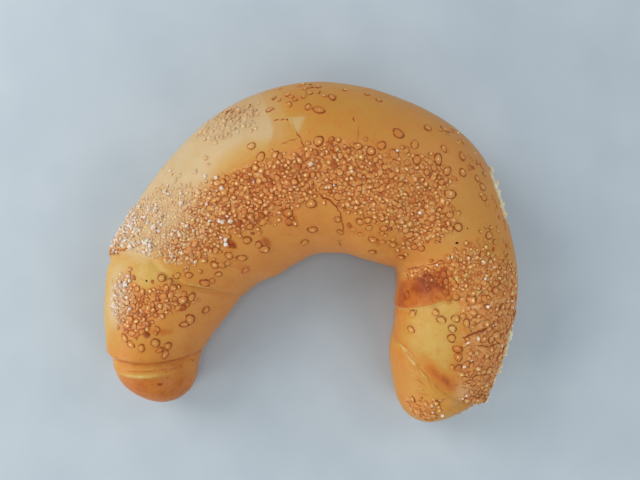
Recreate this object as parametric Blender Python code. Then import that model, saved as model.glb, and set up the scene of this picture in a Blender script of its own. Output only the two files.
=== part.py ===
"""A salted crescent roll, baked from one rolled-up triangle of dough.

The bread is one solid. It is lofted on ribs that run from the outer rim of the
crescent to the inner one, and it lies on its flat base. Its surface carries the
lips of the rolled layers, the soft waves of the crust, the torn flank and the
largest of the blisters and salt grains, which are fused to the crust.

Frame: +X runs to the right horn, +Y to the crown of the crescent, +Z up. The
origin is at the middle of the base. Sizes are in millimetres until the mesh is
made, and the scene is in metres.
"""

import math

import bmesh
import bpy
import numpy as np
from mathutils import Matrix, Vector

MM = 0.001
NODE_NAME = "crescent_roll"

# Ribs of the loft, from the left horn's end over the crown to the right horn's end:
# outer rim x and y, inner rim x and y, and the height of the roll there.
RIBS = np.array(
    (
        (-67.8, -53.5, -44.0, -55.6, 25.0),
        (-72.9, -35.6, -40.8, -37.1, 30.0),
        (-75.0, -17.6, -29.8, -21.1, 34.0),
        (-71.1, 3.3, -22.1, -11.9, 37.5),
        (-54.5, 29.6, -12.0, -7.4, 42.0),
        (-26.6, 53.9, 0.5, -0.8, 46.0),
        (3.5, 61.4, 11.5, 0.7, 48.0),
        (34.7, 55.1, 23.5, -2.5, 47.0),
        (60.9, 36.2, 30.9, -5.2, 43.5),
        (72.3, 6.9, 31.9, -11.0, 39.0),
        (75.0, -20.6, 31.2, -24.8, 36.5),
        (68.3, -43.1, 30.0, -39.4, 33.0),
        (59.0, -58.4, 34.7, -64.3, 26.0),
    )
)
HEIGHT = 4  # the column of a rib that holds its height

# Shape of the ends and of the cross-section.
HORN_ROUNDING = 11.0  # length over which a horn closes to its end
HORN_SQUARENESS = 2.4  # 2 is an ellipse, and more is blunter
WIDEST_SHARE = 0.42  # height of the widest line over the roll's height
CROWN_SQUARENESS = 2.1
FLANK_SQUARENESS = 2.6
BASE_SINK = 1.15  # the lower flank aims this far below the base, which cuts it flat

# Angles round a rib: 0 at the outer rim, 90 on top, 180 at the inner rim, 270 below.
TOP = 90.0
INNER_RIM = 180.0
UNDERSIDE = 270.0
FULL_TURN = 360.0

# Mesh density of the crust.
STEPS_ALONG = 92
STEPS_ROUND = 32
END_CROWDING = 0.2  # how much closer together the steps are near the horns' ends
BASE_LIMIT = 0.001 * MM  # a vertex below this height lies on the base

# Lips of the rolled layers. Each lip's edge runs over (angle round, distance along, strength)
# points. The layer on the crown's side lies on top, so it stands higher by the step.
LEFT, RIGHT = 1.0, -1.0
LIPS = (
    # side, step, reach, groove, edge
    (
        LEFT, 1.5, 9.0, 0.8,
        (
            (0, 19.5, 0.8), (39, 17.8, 1), (75, 17.2, 1), (93, 17.3, 1), (125, 18.5, 1), (150, 19.6, 0.9),
            (180, 20.5, 0.4),
        ),
    ),
    (
        LEFT, 1.1, 12.0, 0.7,
        (
            (0, 48.5, 0.3), (20, 49.5, 0.8), (40, 51.5, 1), (58, 54.0, 1), (75, 54.0, 0.7), (90, 50.5, 0.5),
            (105, 47.8, 1), (130, 48.0, 1), (150, 47.0, 0.6), (180, 45.0, 0.2),
        ),
    ),
    (
        RIGHT, 0.7, 10.0, 0.5,
        (
            (0, 187.0, 0.1), (80, 190.0, 0.3), (100, 191.0, 0.8), (113, 191.0, 1), (124, 192.0, 1),
            (150, 192.5, 1), (180, 192.0, 0.8),
        ),
    ),
    (
        RIGHT, 2.2, 8.0, 0.9,
        (
            (0, 233.0, 1), (32, 230.5, 1), (70, 228.3, 0.9), (83, 226.0, 0.8), (103, 222.0, 1), (118, 217.5, 1),
            (128, 214.0, 1), (141, 210.5, 0.8), (158, 208.5, 0.4), (180, 207.0, 0),
        ),
    ),
)
LIP_SHARPNESS = 0.9
GROOVE_WIDTH = 1.3
RELIEF_FADE_ANGLE = 25.0  # the relief dies out over this much of the lower flank

# Slow waves that make the hand-rolled form uneven.
WAVES = (
    # amplitude, waves along the roll, waves round half of it, phase
    (0.35, 3.0, 1.0, 0.4),
    (0.25, 7.0, 2.0, 1.9),
    (0.18, 12.0, 3.0, 4.1),
)

# The torn flank of the right horn, where the roll pulled away from its neighbour.
TEARS = (
    # first and last distance along, upper angle, depth
    (165.0, 177.0, 36.0, 0.8),
    (202.0, 229.0, 34.0, 1.1),
)
TEAR_EDGE = 1.2  # length over which a tear reaches its depth
TEAR_EDGE_ANGLE = 8.0
TEAR_RAGGEDNESS = 0.25
TEAR_RIPPLES = (2.1, 0.9, 0.2)  # two unlike ripples along the tear, and how the second leans

# Where the blisters crowd. Each outline runs over (distance along, angle round) points.
CROWN_BAND = (
    (50, 4), (51, 30), (53, 45), (55, 56), (55, 80), (54, 87), (56, 96), (60, 106), (66, 109), (74, 106),
    (82, 112), (90, 114), (100, 115), (108, 110), (115, 112), (121, 122), (133, 122), (147, 124), (155, 137),
    (161, 123), (166, 105), (167, 95), (161, 88), (156, 74), (152, 69), (143, 77), (135, 83), (126, 80),
    (118, 81), (109, 84), (100, 85), (92, 80), (84, 77), (80, 73), (76, 64), (72, 52), (68, 40), (58, 8),
)
ARM_BAND = (
    (168, 158), (170, 142), (172, 126), (176, 108), (173, 98), (176, 82), (179, 74), (183, 52), (187, 35),
    (192, 28), (200, 26), (206, 30), (212, 32), (220, 28), (226, 30), (230, 40), (228, 76), (221, 79),
    (216, 84), (208, 88), (203, 90), (198, 94), (192, 98), (189, 108), (185, 119), (178, 138), (173, 150),
)
CAP_CLUSTER = (
    (46, 55), (47, 62), (43, 70), (42, 80), (46, 91), (47, 97), (43, 105), (43, 116), (41, 118), (37, 104),
    (33, 91), (31, 88), (28, 90), (27, 74), (28, 66), (32, 55), (36, 49), (43, 45),
)
TIP_CLUSTER = ((229, 146), (230, 125), (229, 112), (231, 102), (233, 96), (236, 115), (234, 140))
CROWDED = (CROWN_BAND, ARM_BAND, CAP_CLUSTER, TIP_CLUSTER)
CROWDED_COUNT = 100
CROWDED_RADIUS = (0.95, 1.35)

# Blisters that stand alone on the smooth skin: distance along, angle round, radius.
LONE_BLISTERS = (
    # between the left horn's end and its cluster
    (24, 74, 1.4), (23, 86, 1.4), (25, 98, 1.7), (24, 111, 1.5), (22.5, 104, 1.2), (21, 111, 1.4),
    (26, 66, 1.5), (28, 74, 1.4), (30, 96, 1.0), (34, 121, 1.9), (32, 118, 1.4), (38, 132, 1.5),
    # between the cluster and the crown band
    (48, 88, 1.5), (45, 93, 1.3), (45.5, 98, 1.3), (42, 93, 1.5), (41.5, 108, 1.7), (43, 114, 1.5),
    (43, 72, 1.2), (52, 104, 1.3), (50.5, 97, 1.3),
    # inner side of the left half
    (50.5, 118, 1.7), (52.5, 122, 1.2), (57, 122, 1.3), (60.5, 114, 1.5), (62, 118, 1.3), (67.5, 116, 1.5),
    (70, 124, 1.5), (65.5, 135, 1.5), (77.5, 116, 1.5), (82, 110, 1.3), (79.5, 124, 1.3), (80, 130, 1.8),
    (87, 113, 1.4), (98, 116, 1.8), (96.5, 122, 1.4), (105, 134, 1.6), (98.5, 144, 1.5), (108, 115, 1.8),
    # inner side of the right half
    (119, 112, 1.4), (118, 128, 1.3), (118.5, 139, 1.2), (128, 127, 1.4), (131.5, 124, 1.4), (135, 138, 1.6),
    (136, 152, 1.5), (139, 126, 1.3), (146, 137, 1.5), (155, 147, 1.5), (152, 124, 1.6), (158, 130, 1.3),
    (162, 126, 1.3),
    # along the upper edge of the crown band
    (97, 71, 1.4), (98, 80, 1.6), (95, 84, 1.4), (115.5, 80, 1.7), (127, 82, 1.4), (131, 83, 1.6),
    (134, 78, 1.6), (138.5, 66, 1.9), (138, 81, 1.9), (143.5, 69, 1.6), (145, 78, 1.6), (150.5, 70, 1.8),
    (154, 73, 1.6), (158, 84, 1.9), (162, 93, 1.3), (167.5, 91, 1.6),
    # on the crown
    (121, 47, 1.5), (115.5, 42, 1.2), (114.5, 56, 1.3), (117, 59, 1.7), (110, 51, 1.3), (105, 50, 1.1),
    (114, 46, 1.0), (130, 37, 1.1), (133, 41, 1.1), (118, 33, 1.2), (111, 44, 1.0),
    # on the right shoulder
    (146, 50, 1.5), (150, 41, 1.5), (151, 60, 1.3), (156, 54, 1.5), (158, 65, 1.5), (162.5, 56, 1.3),
    (165, 55, 1.5), (167, 59, 1.3), (162, 40, 1.2), (163.5, 43, 1.2), (175.5, 65, 1.6),
    # on the right arm
    (186, 152, 1.5), (195, 142, 1.5), (202, 140, 1.4), (195, 118, 1.3), (198, 112, 1.5), (198, 100, 1.5),
    (201.5, 102, 1.5), (205, 101, 1.5), (209, 94, 1.5), (212, 91, 1.5), (215.5, 94, 1.0), (200, 91, 1.5),
)
BLISTER_HEIGHT_SHARE = 0.55  # height of a blister over its radius
BLISTER_SINK_SHARE = 0.35  # depth of its centre below the crust, over its height
BLISTER_SPACING = 1.2  # least distance of a crowded blister from another, over the sum of their radii
BLISTER_SIDES = 6
BLISTER_RINGS = 4
SEED = 11

CRUST_COLOUR = (0.52, 0.25, 0.075, 1.0)
CRUST_ROUGHNESS = 0.42


def rib_slopes():
    """Distance of each rib along the roll, and how the ribs change with it."""
    middle = (RIBS[:, :2] + RIBS[:, 2:4]) / 2
    steps = np.linalg.norm(np.diff(middle, axis=0), axis=1)
    along = np.concatenate(([0.0], np.cumsum(steps)))
    slope = np.empty_like(RIBS)
    slope[1:-1] = (RIBS[2:] - RIBS[:-2]) / (along[2:] - along[:-2])[:, None]
    slope[0] = (RIBS[1] - RIBS[0]) / along[1]
    slope[-1] = (RIBS[-1] - RIBS[-2]) / (along[-1] - along[-2])
    return along, slope


RIB_ALONG, RIB_SLOPE = rib_slopes()
LENGTH = RIB_ALONG[-1]


def rib_at(along):
    """The rib at a distance along the roll, on a smooth curve through the named ribs."""
    before = np.clip(np.searchsorted(RIB_ALONG, along, side="right") - 1, 0, len(RIBS) - 2)
    span = RIB_ALONG[before + 1] - RIB_ALONG[before]
    t = ((along - RIB_ALONG[before]) / span)[:, None]
    span = span[:, None]
    start = (2 * t**3 - 3 * t**2 + 1) * RIBS[before] + (t**3 - 2 * t**2 + t) * span * RIB_SLOPE[before]
    end = (3 * t**2 - 2 * t**3) * RIBS[before + 1] + (t**3 - t**2) * span * RIB_SLOPE[before + 1]
    return start + end


def closing(along):
    """1 along the roll, falling to 0 over the rounding of each horn's end."""
    share = np.clip(np.minimum(along, LENGTH - along) / HORN_ROUNDING, 0, 1)
    return (1 - (1 - share) ** HORN_SQUARENESS) ** (1 / HORN_SQUARENESS)


def rounded(value, squareness):
    return np.sign(value) * np.abs(value) ** (2 / squareness)


def smooth_form(along, angle):
    """Points of the roll without its relief, for arrays of distance along and angle round."""
    rib, close = rib_at(along), closing(along)
    height = rib[:, HEIGHT]
    middle = (rib[:, :2] + rib[:, 2:4]) / 2
    half = (rib[:, :2] - rib[:, 2:4]) / 2 * close[:, None]
    cosine, sine = np.cos(np.radians(angle)), np.sin(np.radians(angle))
    above = sine >= 0
    squareness = np.where(above, CROWN_SQUARENESS, FLANK_SQUARENESS)
    across = rounded(cosine, squareness)
    lift = rounded(np.abs(sine), squareness) * close
    widest = height * WIDEST_SHARE
    top = widest + (height - widest) * lift
    bottom = np.maximum(0.0, widest * (1 - BASE_SINK * lift))
    flat = middle + half * across[:, None]
    return np.column_stack((flat, np.where(above, top, bottom)))


def outward(along, angle):
    """Unit normals of the smooth form."""
    step_along, step_round = 0.4, 1.0
    inside = np.clip(along, 2 * step_along, LENGTH - 2 * step_along)
    run = smooth_form(inside + step_along, angle) - smooth_form(inside - step_along, angle)
    turn = smooth_form(inside, angle + step_round) - smooth_form(inside, angle - step_round)
    normal = np.cross(turn, run)
    return normal / np.linalg.norm(normal, axis=1)[:, None]


def lip_relief(along, angle):
    """Height that the edges of the rolled layers add."""
    total = np.zeros_like(along)
    for side, step, reach, groove, edge in LIPS:
        edge_angles, edge_along, edge_strength = zip(*edge)
        strength = np.interp(angle, edge_angles, edge_strength)
        onto_crown = side * (along - np.interp(angle, edge_angles, edge_along))
        rise = 0.5 + 0.5 * np.tanh(onto_crown / LIP_SHARPNESS)
        total += strength * step * rise * np.exp(-np.maximum(onto_crown, 0) / reach)
        total -= strength * groove * np.exp(-(((onto_crown + GROOVE_WIDTH) / GROOVE_WIDTH) ** 2))
    return total


def wave_relief(along, angle):
    """Slow swells of the hand-rolled dough."""
    total = np.zeros_like(along)
    for amplitude, waves_along, waves_round, phase in WAVES:
        run = 2 * math.pi * waves_along * along / LENGTH
        total += amplitude * np.sin(run + phase) * np.cos(waves_round * np.radians(angle) + phase)
    return total


def tear_relief(along, angle):
    """Ragged hollows in the flank, where the crust came away."""
    total = np.zeros_like(along)
    along_ripple, second_ripple, lean = TEAR_RIPPLES
    for first, last, upper, depth in TEARS:
        lengthwise = np.clip(np.minimum(along - first, last - along) / TEAR_EDGE, 0, 1)
        upright = np.clip((upper - angle) / TEAR_EDGE_ANGLE, 0, 1)
        ripple = np.sin(along * along_ripple) * np.cos(along * second_ripple + angle * lean)
        total -= depth * lengthwise * upright * (1 - TEAR_RAGGEDNESS * (1 - ripple))
    return total


def crust(along, angle):
    """Points of the crust with its relief, which fades out on the way down to the base."""
    form = smooth_form(along, angle)
    around = np.mod(angle, FULL_TURN)
    below_rim = np.maximum(np.minimum(around - INNER_RIM, FULL_TURN - around), 0)
    fade = np.clip(1 - below_rim / RELIEF_FADE_ANGLE, 0, 1) * closing(along)
    rim_angle = np.where(around > UNDERSIDE, 0.0, np.minimum(around, INNER_RIM))
    relief = lip_relief(along, rim_angle) + wave_relief(along, rim_angle) + tear_relief(along, rim_angle)
    return form + outward(along, angle) * (relief * fade)[:, None]


def crust_material():
    made = bpy.data.materials.new("golden_crust")
    made.use_nodes = True
    shader = made.node_tree.nodes["Principled BSDF"]
    shader.inputs["Base Color"].default_value = CRUST_COLOUR
    shader.inputs["Roughness"].default_value = CRUST_ROUGHNESS
    shader.inputs["Metallic"].default_value = 0.0
    return made


def steps_along():
    """Distances along the roll, closer together where the horns close."""
    even = np.linspace(0, 1, STEPS_ALONG + 1)
    crowded = (1 - np.cos(math.pi * even)) / 2
    return LENGTH * ((1 - END_CROWDING) * even + END_CROWDING * crowded)


def build_crust():
    """A grid wrapped round the ribs, its seam along the base and its ends drawn to points."""
    bm = bmesh.new()
    bmesh.ops.create_grid(bm, x_segments=STEPS_ALONG, y_segments=STEPS_ROUND, size=0.5)
    grid = np.array([vertex.co[:] for vertex in bm.verts]) + 0.5
    along = steps_along()[np.rint(grid[:, 0] * STEPS_ALONG).astype(int)]
    points = crust(along, grid[:, 1] * FULL_TURN - TOP) * MM
    for vertex, point in zip(bm.verts, points):
        vertex.co = point
    bmesh.ops.remove_doubles(bm, verts=bm.verts, dist=0.001 * MM)
    bmesh.ops.recalc_face_normals(bm, faces=bm.faces)
    mesh = bpy.data.meshes.new(NODE_NAME)
    bm.to_mesh(mesh)
    bm.free()
    mesh.shade_smooth()
    mesh.materials.append(crust_material())
    roll = bpy.data.objects.new(NODE_NAME, mesh)
    bpy.context.scene.collection.objects.link(roll)
    return roll


def encloses(outline, along, angle):
    """Whether an outline encloses a place, by counting the edges beyond it."""
    beyond = 0
    for (along_0, angle_0), (along_1, angle_1) in zip(outline, outline[1:] + outline[:1]):
        if (angle_0 > angle) != (angle_1 > angle):
            share = (angle - angle_0) / (angle_1 - angle_0)
            beyond += along < along_0 + share * (along_1 - along_0)
    return beyond % 2 == 1


def blister_at(along, angle, radius):
    """(place, normal, radius) of a blister on the crust."""
    spot, turn = np.array([float(along)]), np.array([float(angle)])
    return crust(spot, turn)[0], outward(spot, turn)[0], radius


def blister_places():
    """The lone blisters, then the crowded ones, which are drawn from one seeded run."""
    draw = np.random.default_rng(SEED)
    placed = [blister_at(*lone) for lone in LONE_BLISTERS]
    while len(placed) < len(LONE_BLISTERS) + CROWDED_COUNT:
        along, angle = draw.uniform(0, LENGTH), draw.uniform(0, INNER_RIM)
        radius = draw.uniform(*CROWDED_RADIUS)
        if any(encloses(outline, along, angle) for outline in CROWDED):
            made = blister_at(along, angle, radius)
            if all(
                np.linalg.norm(made[0] - place) > BLISTER_SPACING * (radius + other)
                for place, _, other in placed
            ):
                placed.append(made)
    return placed


def add_blister(collection, place, normal, radius):
    """A low dome whose foot is sunk in the crust."""
    height = radius * BLISTER_HEIGHT_SHARE
    bm = bmesh.new()
    bmesh.ops.create_uvsphere(bm, u_segments=BLISTER_SIDES, v_segments=BLISTER_RINGS, radius=1.0)
    bmesh.ops.scale(bm, verts=bm.verts, vec=Vector((radius, radius, height)) * MM)
    turn = Vector(normal).to_track_quat("Z", "Y").to_matrix().to_4x4()
    centre = Vector(place - normal * height * BLISTER_SINK_SHARE) * MM
    bmesh.ops.transform(bm, verts=bm.verts, matrix=Matrix.Translation(centre) @ turn)
    mesh = bpy.data.meshes.new("blister")
    bm.to_mesh(mesh)
    bm.free()
    collection.objects.link(bpy.data.objects.new("blister", mesh))


def fuse_blisters(roll):
    """One union joins every blister to the crust."""
    collection = bpy.data.collections.new("blisters")
    bpy.context.scene.collection.children.link(collection)
    for place, normal, radius in blister_places():
        add_blister(collection, place, normal, radius)
    union = roll.modifiers.new("fuse", "BOOLEAN")
    union.operation = "UNION"
    union.operand_type = "COLLECTION"
    union.collection = collection
    union.solver = "EXACT"
    bpy.context.view_layer.update()
    evaluated = roll.evaluated_get(bpy.context.evaluated_depsgraph_get())
    fused = bpy.data.meshes.new_from_object(evaluated)
    roll.modifiers.clear()
    roll.data = fused
    for blister in list(collection.objects):
        bpy.data.objects.remove(blister)
    bpy.data.collections.remove(collection)


def merge_base(roll):
    """Makes the flat base one face."""
    bm = bmesh.new()
    bm.from_mesh(roll.data)
    base = [face for face in bm.faces if all(vertex.co.z < BASE_LIMIT for vertex in face.verts)]
    bmesh.ops.dissolve_faces(bm, faces=base, use_verts=True)
    bm.to_mesh(roll.data)
    bm.free()


def main():
    for old in list(bpy.data.objects):
        bpy.data.objects.remove(old)
    roll = build_crust()
    fuse_blisters(roll)
    merge_base(roll)


main()
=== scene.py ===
"""Looks of a salted crescent roll: its baked crust, blisters, salt and torn crumb.

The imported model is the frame. Sizes are in millimetres until a mesh is made, and
places on the roll are (distance along it from the left horn's end, angle round it),
where 0 degrees is the outer rim, 90 the crown and 180 the inner rim.
"""

import math

import bmesh
import bpy
import numpy as np
from mathutils import Matrix, Vector, kdtree, noise


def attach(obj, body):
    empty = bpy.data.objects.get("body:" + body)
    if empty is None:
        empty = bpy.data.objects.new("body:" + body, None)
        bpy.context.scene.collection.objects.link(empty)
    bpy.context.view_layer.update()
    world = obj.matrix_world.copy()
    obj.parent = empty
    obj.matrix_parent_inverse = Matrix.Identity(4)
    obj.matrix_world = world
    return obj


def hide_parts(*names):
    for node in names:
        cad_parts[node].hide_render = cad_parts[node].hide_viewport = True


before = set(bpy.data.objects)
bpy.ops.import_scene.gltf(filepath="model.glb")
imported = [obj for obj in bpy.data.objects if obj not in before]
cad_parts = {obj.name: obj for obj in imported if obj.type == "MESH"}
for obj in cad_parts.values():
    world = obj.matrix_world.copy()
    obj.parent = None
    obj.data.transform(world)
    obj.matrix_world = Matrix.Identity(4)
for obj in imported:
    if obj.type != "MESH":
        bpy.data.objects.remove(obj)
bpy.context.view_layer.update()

# ---------------------------------------------------------------------------------------
# The crust: one triangle of dough, rolled up, bent into a crescent and baked on a tray.
# It is smooth and egg-washed where the skin stayed whole, has lips where the layers end,
# and carries its own browning, from cream at the pale shoulder to red-brown at a fold.
# ---------------------------------------------------------------------------------------

MM = 0.001

# Ribs from the left horn's end over the crown to the right horn's end: outer rim x and y,
# inner rim x and y, and the height of the roll there.
RIBS = np.array(
    (
        (-67.8, -53.5, -44.0, -55.6, 25.0),
        (-72.9, -35.6, -40.8, -37.1, 30.0),
        (-75.0, -17.6, -29.8, -21.1, 34.0),
        (-71.1, 3.3, -22.1, -11.9, 37.5),
        (-54.5, 29.6, -12.0, -7.4, 42.0),
        (-26.6, 53.9, 0.5, -0.8, 46.0),
        (3.5, 61.4, 11.5, 0.7, 48.0),
        (34.7, 55.1, 23.5, -2.5, 47.0),
        (60.9, 36.2, 30.9, -5.2, 43.5),
        (72.3, 6.9, 31.9, -11.0, 39.0),
        (75.0, -20.6, 31.2, -24.8, 36.5),
        (68.3, -43.1, 30.0, -39.4, 33.0),
        (59.0, -58.4, 34.7, -64.3, 26.0),
    )
)
HORN_ROUNDING = 11.0
HORN_SQUARENESS = 2.4
WIDEST_SHARE = 0.42
CROWN_SQUARENESS = 2.1
FLANK_SQUARENESS = 2.6
BASE_SINK = 1.15

rib_middle = (RIBS[:, :2] + RIBS[:, 2:4]) / 2
rib_steps = np.linalg.norm(np.diff(rib_middle, axis=0), axis=1)
RIB_ALONG = np.concatenate(([0.0], np.cumsum(rib_steps)))
RIB_SLOPE = np.empty_like(RIBS)
RIB_SLOPE[1:-1] = (RIBS[2:] - RIBS[:-2]) / (RIB_ALONG[2:] - RIB_ALONG[:-2])[:, None]
RIB_SLOPE[0] = (RIBS[1] - RIBS[0]) / RIB_ALONG[1]
RIB_SLOPE[-1] = (RIBS[-1] - RIBS[-2]) / (RIB_ALONG[-1] - RIB_ALONG[-2])
LENGTH = RIB_ALONG[-1]


def rib_at(along):
    """The rib at a distance along the roll, on a smooth curve through the named ribs."""
    before = np.clip(np.searchsorted(RIB_ALONG, along, side="right") - 1, 0, len(RIBS) - 2)
    span = RIB_ALONG[before + 1] - RIB_ALONG[before]
    t = ((along - RIB_ALONG[before]) / span)[:, None]
    span = span[:, None]
    start = (2 * t**3 - 3 * t**2 + 1) * RIBS[before] + (t**3 - 2 * t**2 + t) * span * RIB_SLOPE[before]
    end = (3 * t**2 - 2 * t**3) * RIBS[before + 1] + (t**3 - t**2) * span * RIB_SLOPE[before + 1]
    return start + end


def closing(along):
    """1 along the roll, falling to 0 over the rounding of each horn's end."""
    share = np.clip(np.minimum(along, LENGTH - along) / HORN_ROUNDING, 0, 1)
    return (1 - (1 - share) ** HORN_SQUARENESS) ** (1 / HORN_SQUARENESS)


def rounded(value, squareness):
    """A sine or cosine for an oval that is round at 2 and squarer above it."""
    return np.sign(value) * np.abs(value) ** (2 / squareness)


def smooth_form(along, angle):
    """Points of the roll without its relief."""
    rib, close = rib_at(along), closing(along)
    height = rib[:, 4]
    half = (rib[:, :2] - rib[:, 2:4]) / 2 * close[:, None]
    cosine, sine = np.cos(np.radians(angle)), np.sin(np.radians(angle))
    above = sine >= 0
    squareness = np.where(above, CROWN_SQUARENESS, FLANK_SQUARENESS)
    lift = rounded(np.abs(sine), squareness) * close
    widest = height * WIDEST_SHARE
    top = widest + (height - widest) * lift
    bottom = np.maximum(0.0, widest * (1 - BASE_SINK * lift))
    flat = (rib[:, :2] + rib[:, 2:4]) / 2 + half * rounded(cosine, squareness)[:, None]
    return np.column_stack((flat, np.where(above, top, bottom)))


def outward(along, angle):
    """Unit normals of the smooth form."""
    inside = np.clip(along, 0.8, LENGTH - 0.8)
    run = smooth_form(inside + 0.4, angle) - smooth_form(inside - 0.4, angle)
    turn = smooth_form(inside, angle + 1.0) - smooth_form(inside, angle - 1.0)
    normal = np.cross(turn, run)
    return normal / np.linalg.norm(normal, axis=1)[:, None]


# Lips of the rolled layers: side, step, reach, groove, and the edge as (angle, distance
# along, strength) points. The layer on the crown's side lies on top.
LEFT, RIGHT = 1.0, -1.0
LEFT_TIP_LIP = (
    LEFT, 1.5, 9.0, 0.8,
    (
        (0, 19.5, 0.8), (39, 17.8, 1), (75, 17.2, 1), (93, 17.3, 1), (125, 18.5, 1), (150, 19.6, 0.9),
        (180, 20.5, 0.4),
    ),
)
LEFT_SEAM = (
    LEFT, 1.1, 12.0, 0.7,
    (
        (0, 48.5, 0.3), (20, 49.5, 0.8), (40, 51.5, 1), (58, 54.0, 1), (75, 54.0, 0.7), (90, 50.5, 0.5),
        (105, 47.8, 1), (130, 48.0, 1), (150, 47.0, 0.6), (180, 45.0, 0.2),
    ),
)
RIGHT_SEAM = (
    RIGHT, 0.7, 10.0, 0.5,
    (
        (0, 187.0, 0.1), (80, 190.0, 0.3), (100, 191.0, 0.8), (113, 191.0, 1), (124, 192.0, 1),
        (150, 192.5, 1), (180, 192.0, 0.8),
    ),
)
RIGHT_TIP_LIP = (
    RIGHT, 2.2, 8.0, 0.9,
    (
        (0, 233.0, 1), (32, 230.5, 1), (70, 228.3, 0.9), (83, 226.0, 0.8), (103, 222.0, 1),
        (118, 217.5, 1), (128, 214.0, 1), (141, 210.5, 0.8), (158, 208.5, 0.4), (180, 207.0, 0),
    ),
)
LIP_SHARPNESS = 0.9
GROOVE_WIDTH = 1.3
# Swells of the dough: height, waves along the roll and round it, phase.
WAVES = ((0.35, 3.0, 1.0, 0.4), (0.25, 7.0, 2.0, 1.9), (0.18, 12.0, 3.0, 4.1))
# Hollows where the outer flank tore: first and last distance along, upper angle, depth.
TEARS = ((165.0, 177.0, 36.0, 0.8), (202.0, 229.0, 34.0, 1.1))


def soft(value, width):
    """0 to 1 across zero, over about the given width each way."""
    return 0.5 + 0.5 * np.tanh(value / width)


def hump(value, width):
    """A smooth bump, 1 at zero, over about the given width each way."""
    return np.exp(-((value / width) ** 2))


def towards(value, target, share):
    """The value, moved towards a target by a share of the way."""
    return value + share * (target - value)


def onto_lip(lip, along, angle):
    """Distance from a lip's edge onto the upper layer, and the lip's strength there."""
    side, _, _, _, edge = lip
    angles, edge_along, strength = zip(*edge)
    return side * (along - np.interp(angle, angles, edge_along)), np.interp(angle, angles, strength)


def lip_relief(along, angle):
    """Height that the lips and the grooves in front of them add."""
    total = np.zeros_like(along)
    for lip in (LEFT_TIP_LIP, LEFT_SEAM, RIGHT_SEAM, RIGHT_TIP_LIP):
        _, step, reach, groove, _ = lip
        onto, strength = onto_lip(lip, along, angle)
        total += strength * step * soft(onto, LIP_SHARPNESS) * np.exp(-np.maximum(onto, 0) / reach)
        total -= strength * groove * hump(onto + GROOVE_WIDTH, GROOVE_WIDTH)
    return total


def wave_relief(along, angle):
    """Height of the dough's soft swells."""
    total = np.zeros_like(along)
    for amplitude, waves_along, waves_round, phase in WAVES:
        run = 2 * math.pi * waves_along * along / LENGTH
        total += amplitude * np.sin(run + phase) * np.cos(waves_round * np.radians(angle) + phase)
    return total


def tear_relief(along, angle):
    """Depth of the torn hollows, less than 0."""
    total = np.zeros_like(along)
    for first, last, upper, depth in TEARS:
        lengthwise = np.clip(np.minimum(along - first, last - along) / 1.2, 0, 1)
        ripple = np.sin(along * 2.1) * np.cos(along * 0.9 + angle * 0.2)
        total -= depth * lengthwise * np.clip((upper - angle) / 8.0, 0, 1) * (0.75 + 0.25 * ripple)
    return total


def rim_angle(angle):
    """The angle, held at the rims for places on the flanks below them."""
    around = np.mod(angle, 360.0)
    return np.where(around > 270.0, 0.0, np.minimum(around, 180.0))


def upper_share(along, angle, reach):
    """1 above the rims, falling to 0 at an angle below them and at the horns' ends."""
    around = np.mod(angle, 360.0)
    below_rim = np.maximum(np.minimum(around - 180.0, 360.0 - around), 0)
    return np.clip(1 - below_rim / reach, 0, 1) * closing(along)


def crust(along, angle):
    """Points of the crust, and its normals. The relief fades out below the rims."""
    turn = rim_angle(angle)
    relief = lip_relief(along, turn) + wave_relief(along, turn) + tear_relief(along, turn)
    normal = outward(along, angle)
    relief = relief * upper_share(along, angle, 25.0)
    return smooth_form(along, angle) + normal * relief[:, None], normal


# Outlines of the areas where the blisters crowd, as (distance along, angle) points.
CROWN_BAND = (
    (50, 4), (51, 30), (53, 45), (55, 56), (55, 80), (54, 87), (56, 96), (60, 106), (66, 109),
    (74, 106), (82, 112), (90, 114), (100, 115), (108, 110), (115, 112), (121, 122), (133, 122),
    (147, 124), (155, 137), (161, 123), (166, 105), (167, 95), (161, 88), (156, 74), (152, 69),
    (143, 77), (135, 83), (126, 80), (118, 81), (109, 84), (100, 85), (92, 80), (84, 77), (80, 73),
    (76, 64), (72, 52), (68, 40), (58, 8),
)
ARM_BAND = (
    (168, 158), (170, 142), (172, 126), (176, 108), (173, 98), (176, 82), (179, 74), (183, 52),
    (187, 35), (192, 28), (200, 26), (206, 30), (212, 32), (220, 28), (226, 30), (230, 40),
    (228, 76), (221, 79), (216, 84), (208, 88), (203, 90), (198, 94), (192, 98), (189, 108),
    (185, 119), (178, 138), (173, 150),
)
CAP_CLUSTER = (
    (46, 55), (47, 62), (43, 70), (42, 80), (46, 91), (47, 97), (43, 105), (43, 116), (41, 118),
    (37, 104), (33, 91), (31, 88), (28, 90), (27, 74), (28, 66), (32, 55), (36, 49), (43, 45),
)
TIP_CLUSTER = ((229, 146), (230, 125), (229, 112), (231, 102), (233, 96), (236, 115), (234, 140))
CROWDS = (CROWN_BAND, ARM_BAND, CAP_CLUSTER, TIP_CLUSTER)
LOOSE_PATCH = (
    (84, 30), (88, 50), (92, 56), (97, 55), (100, 62), (101, 50), (103, 38), (97, 30), (90, 25),
)
ANGLE_MM = 0.36  # length on the crust of one degree round it


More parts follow.
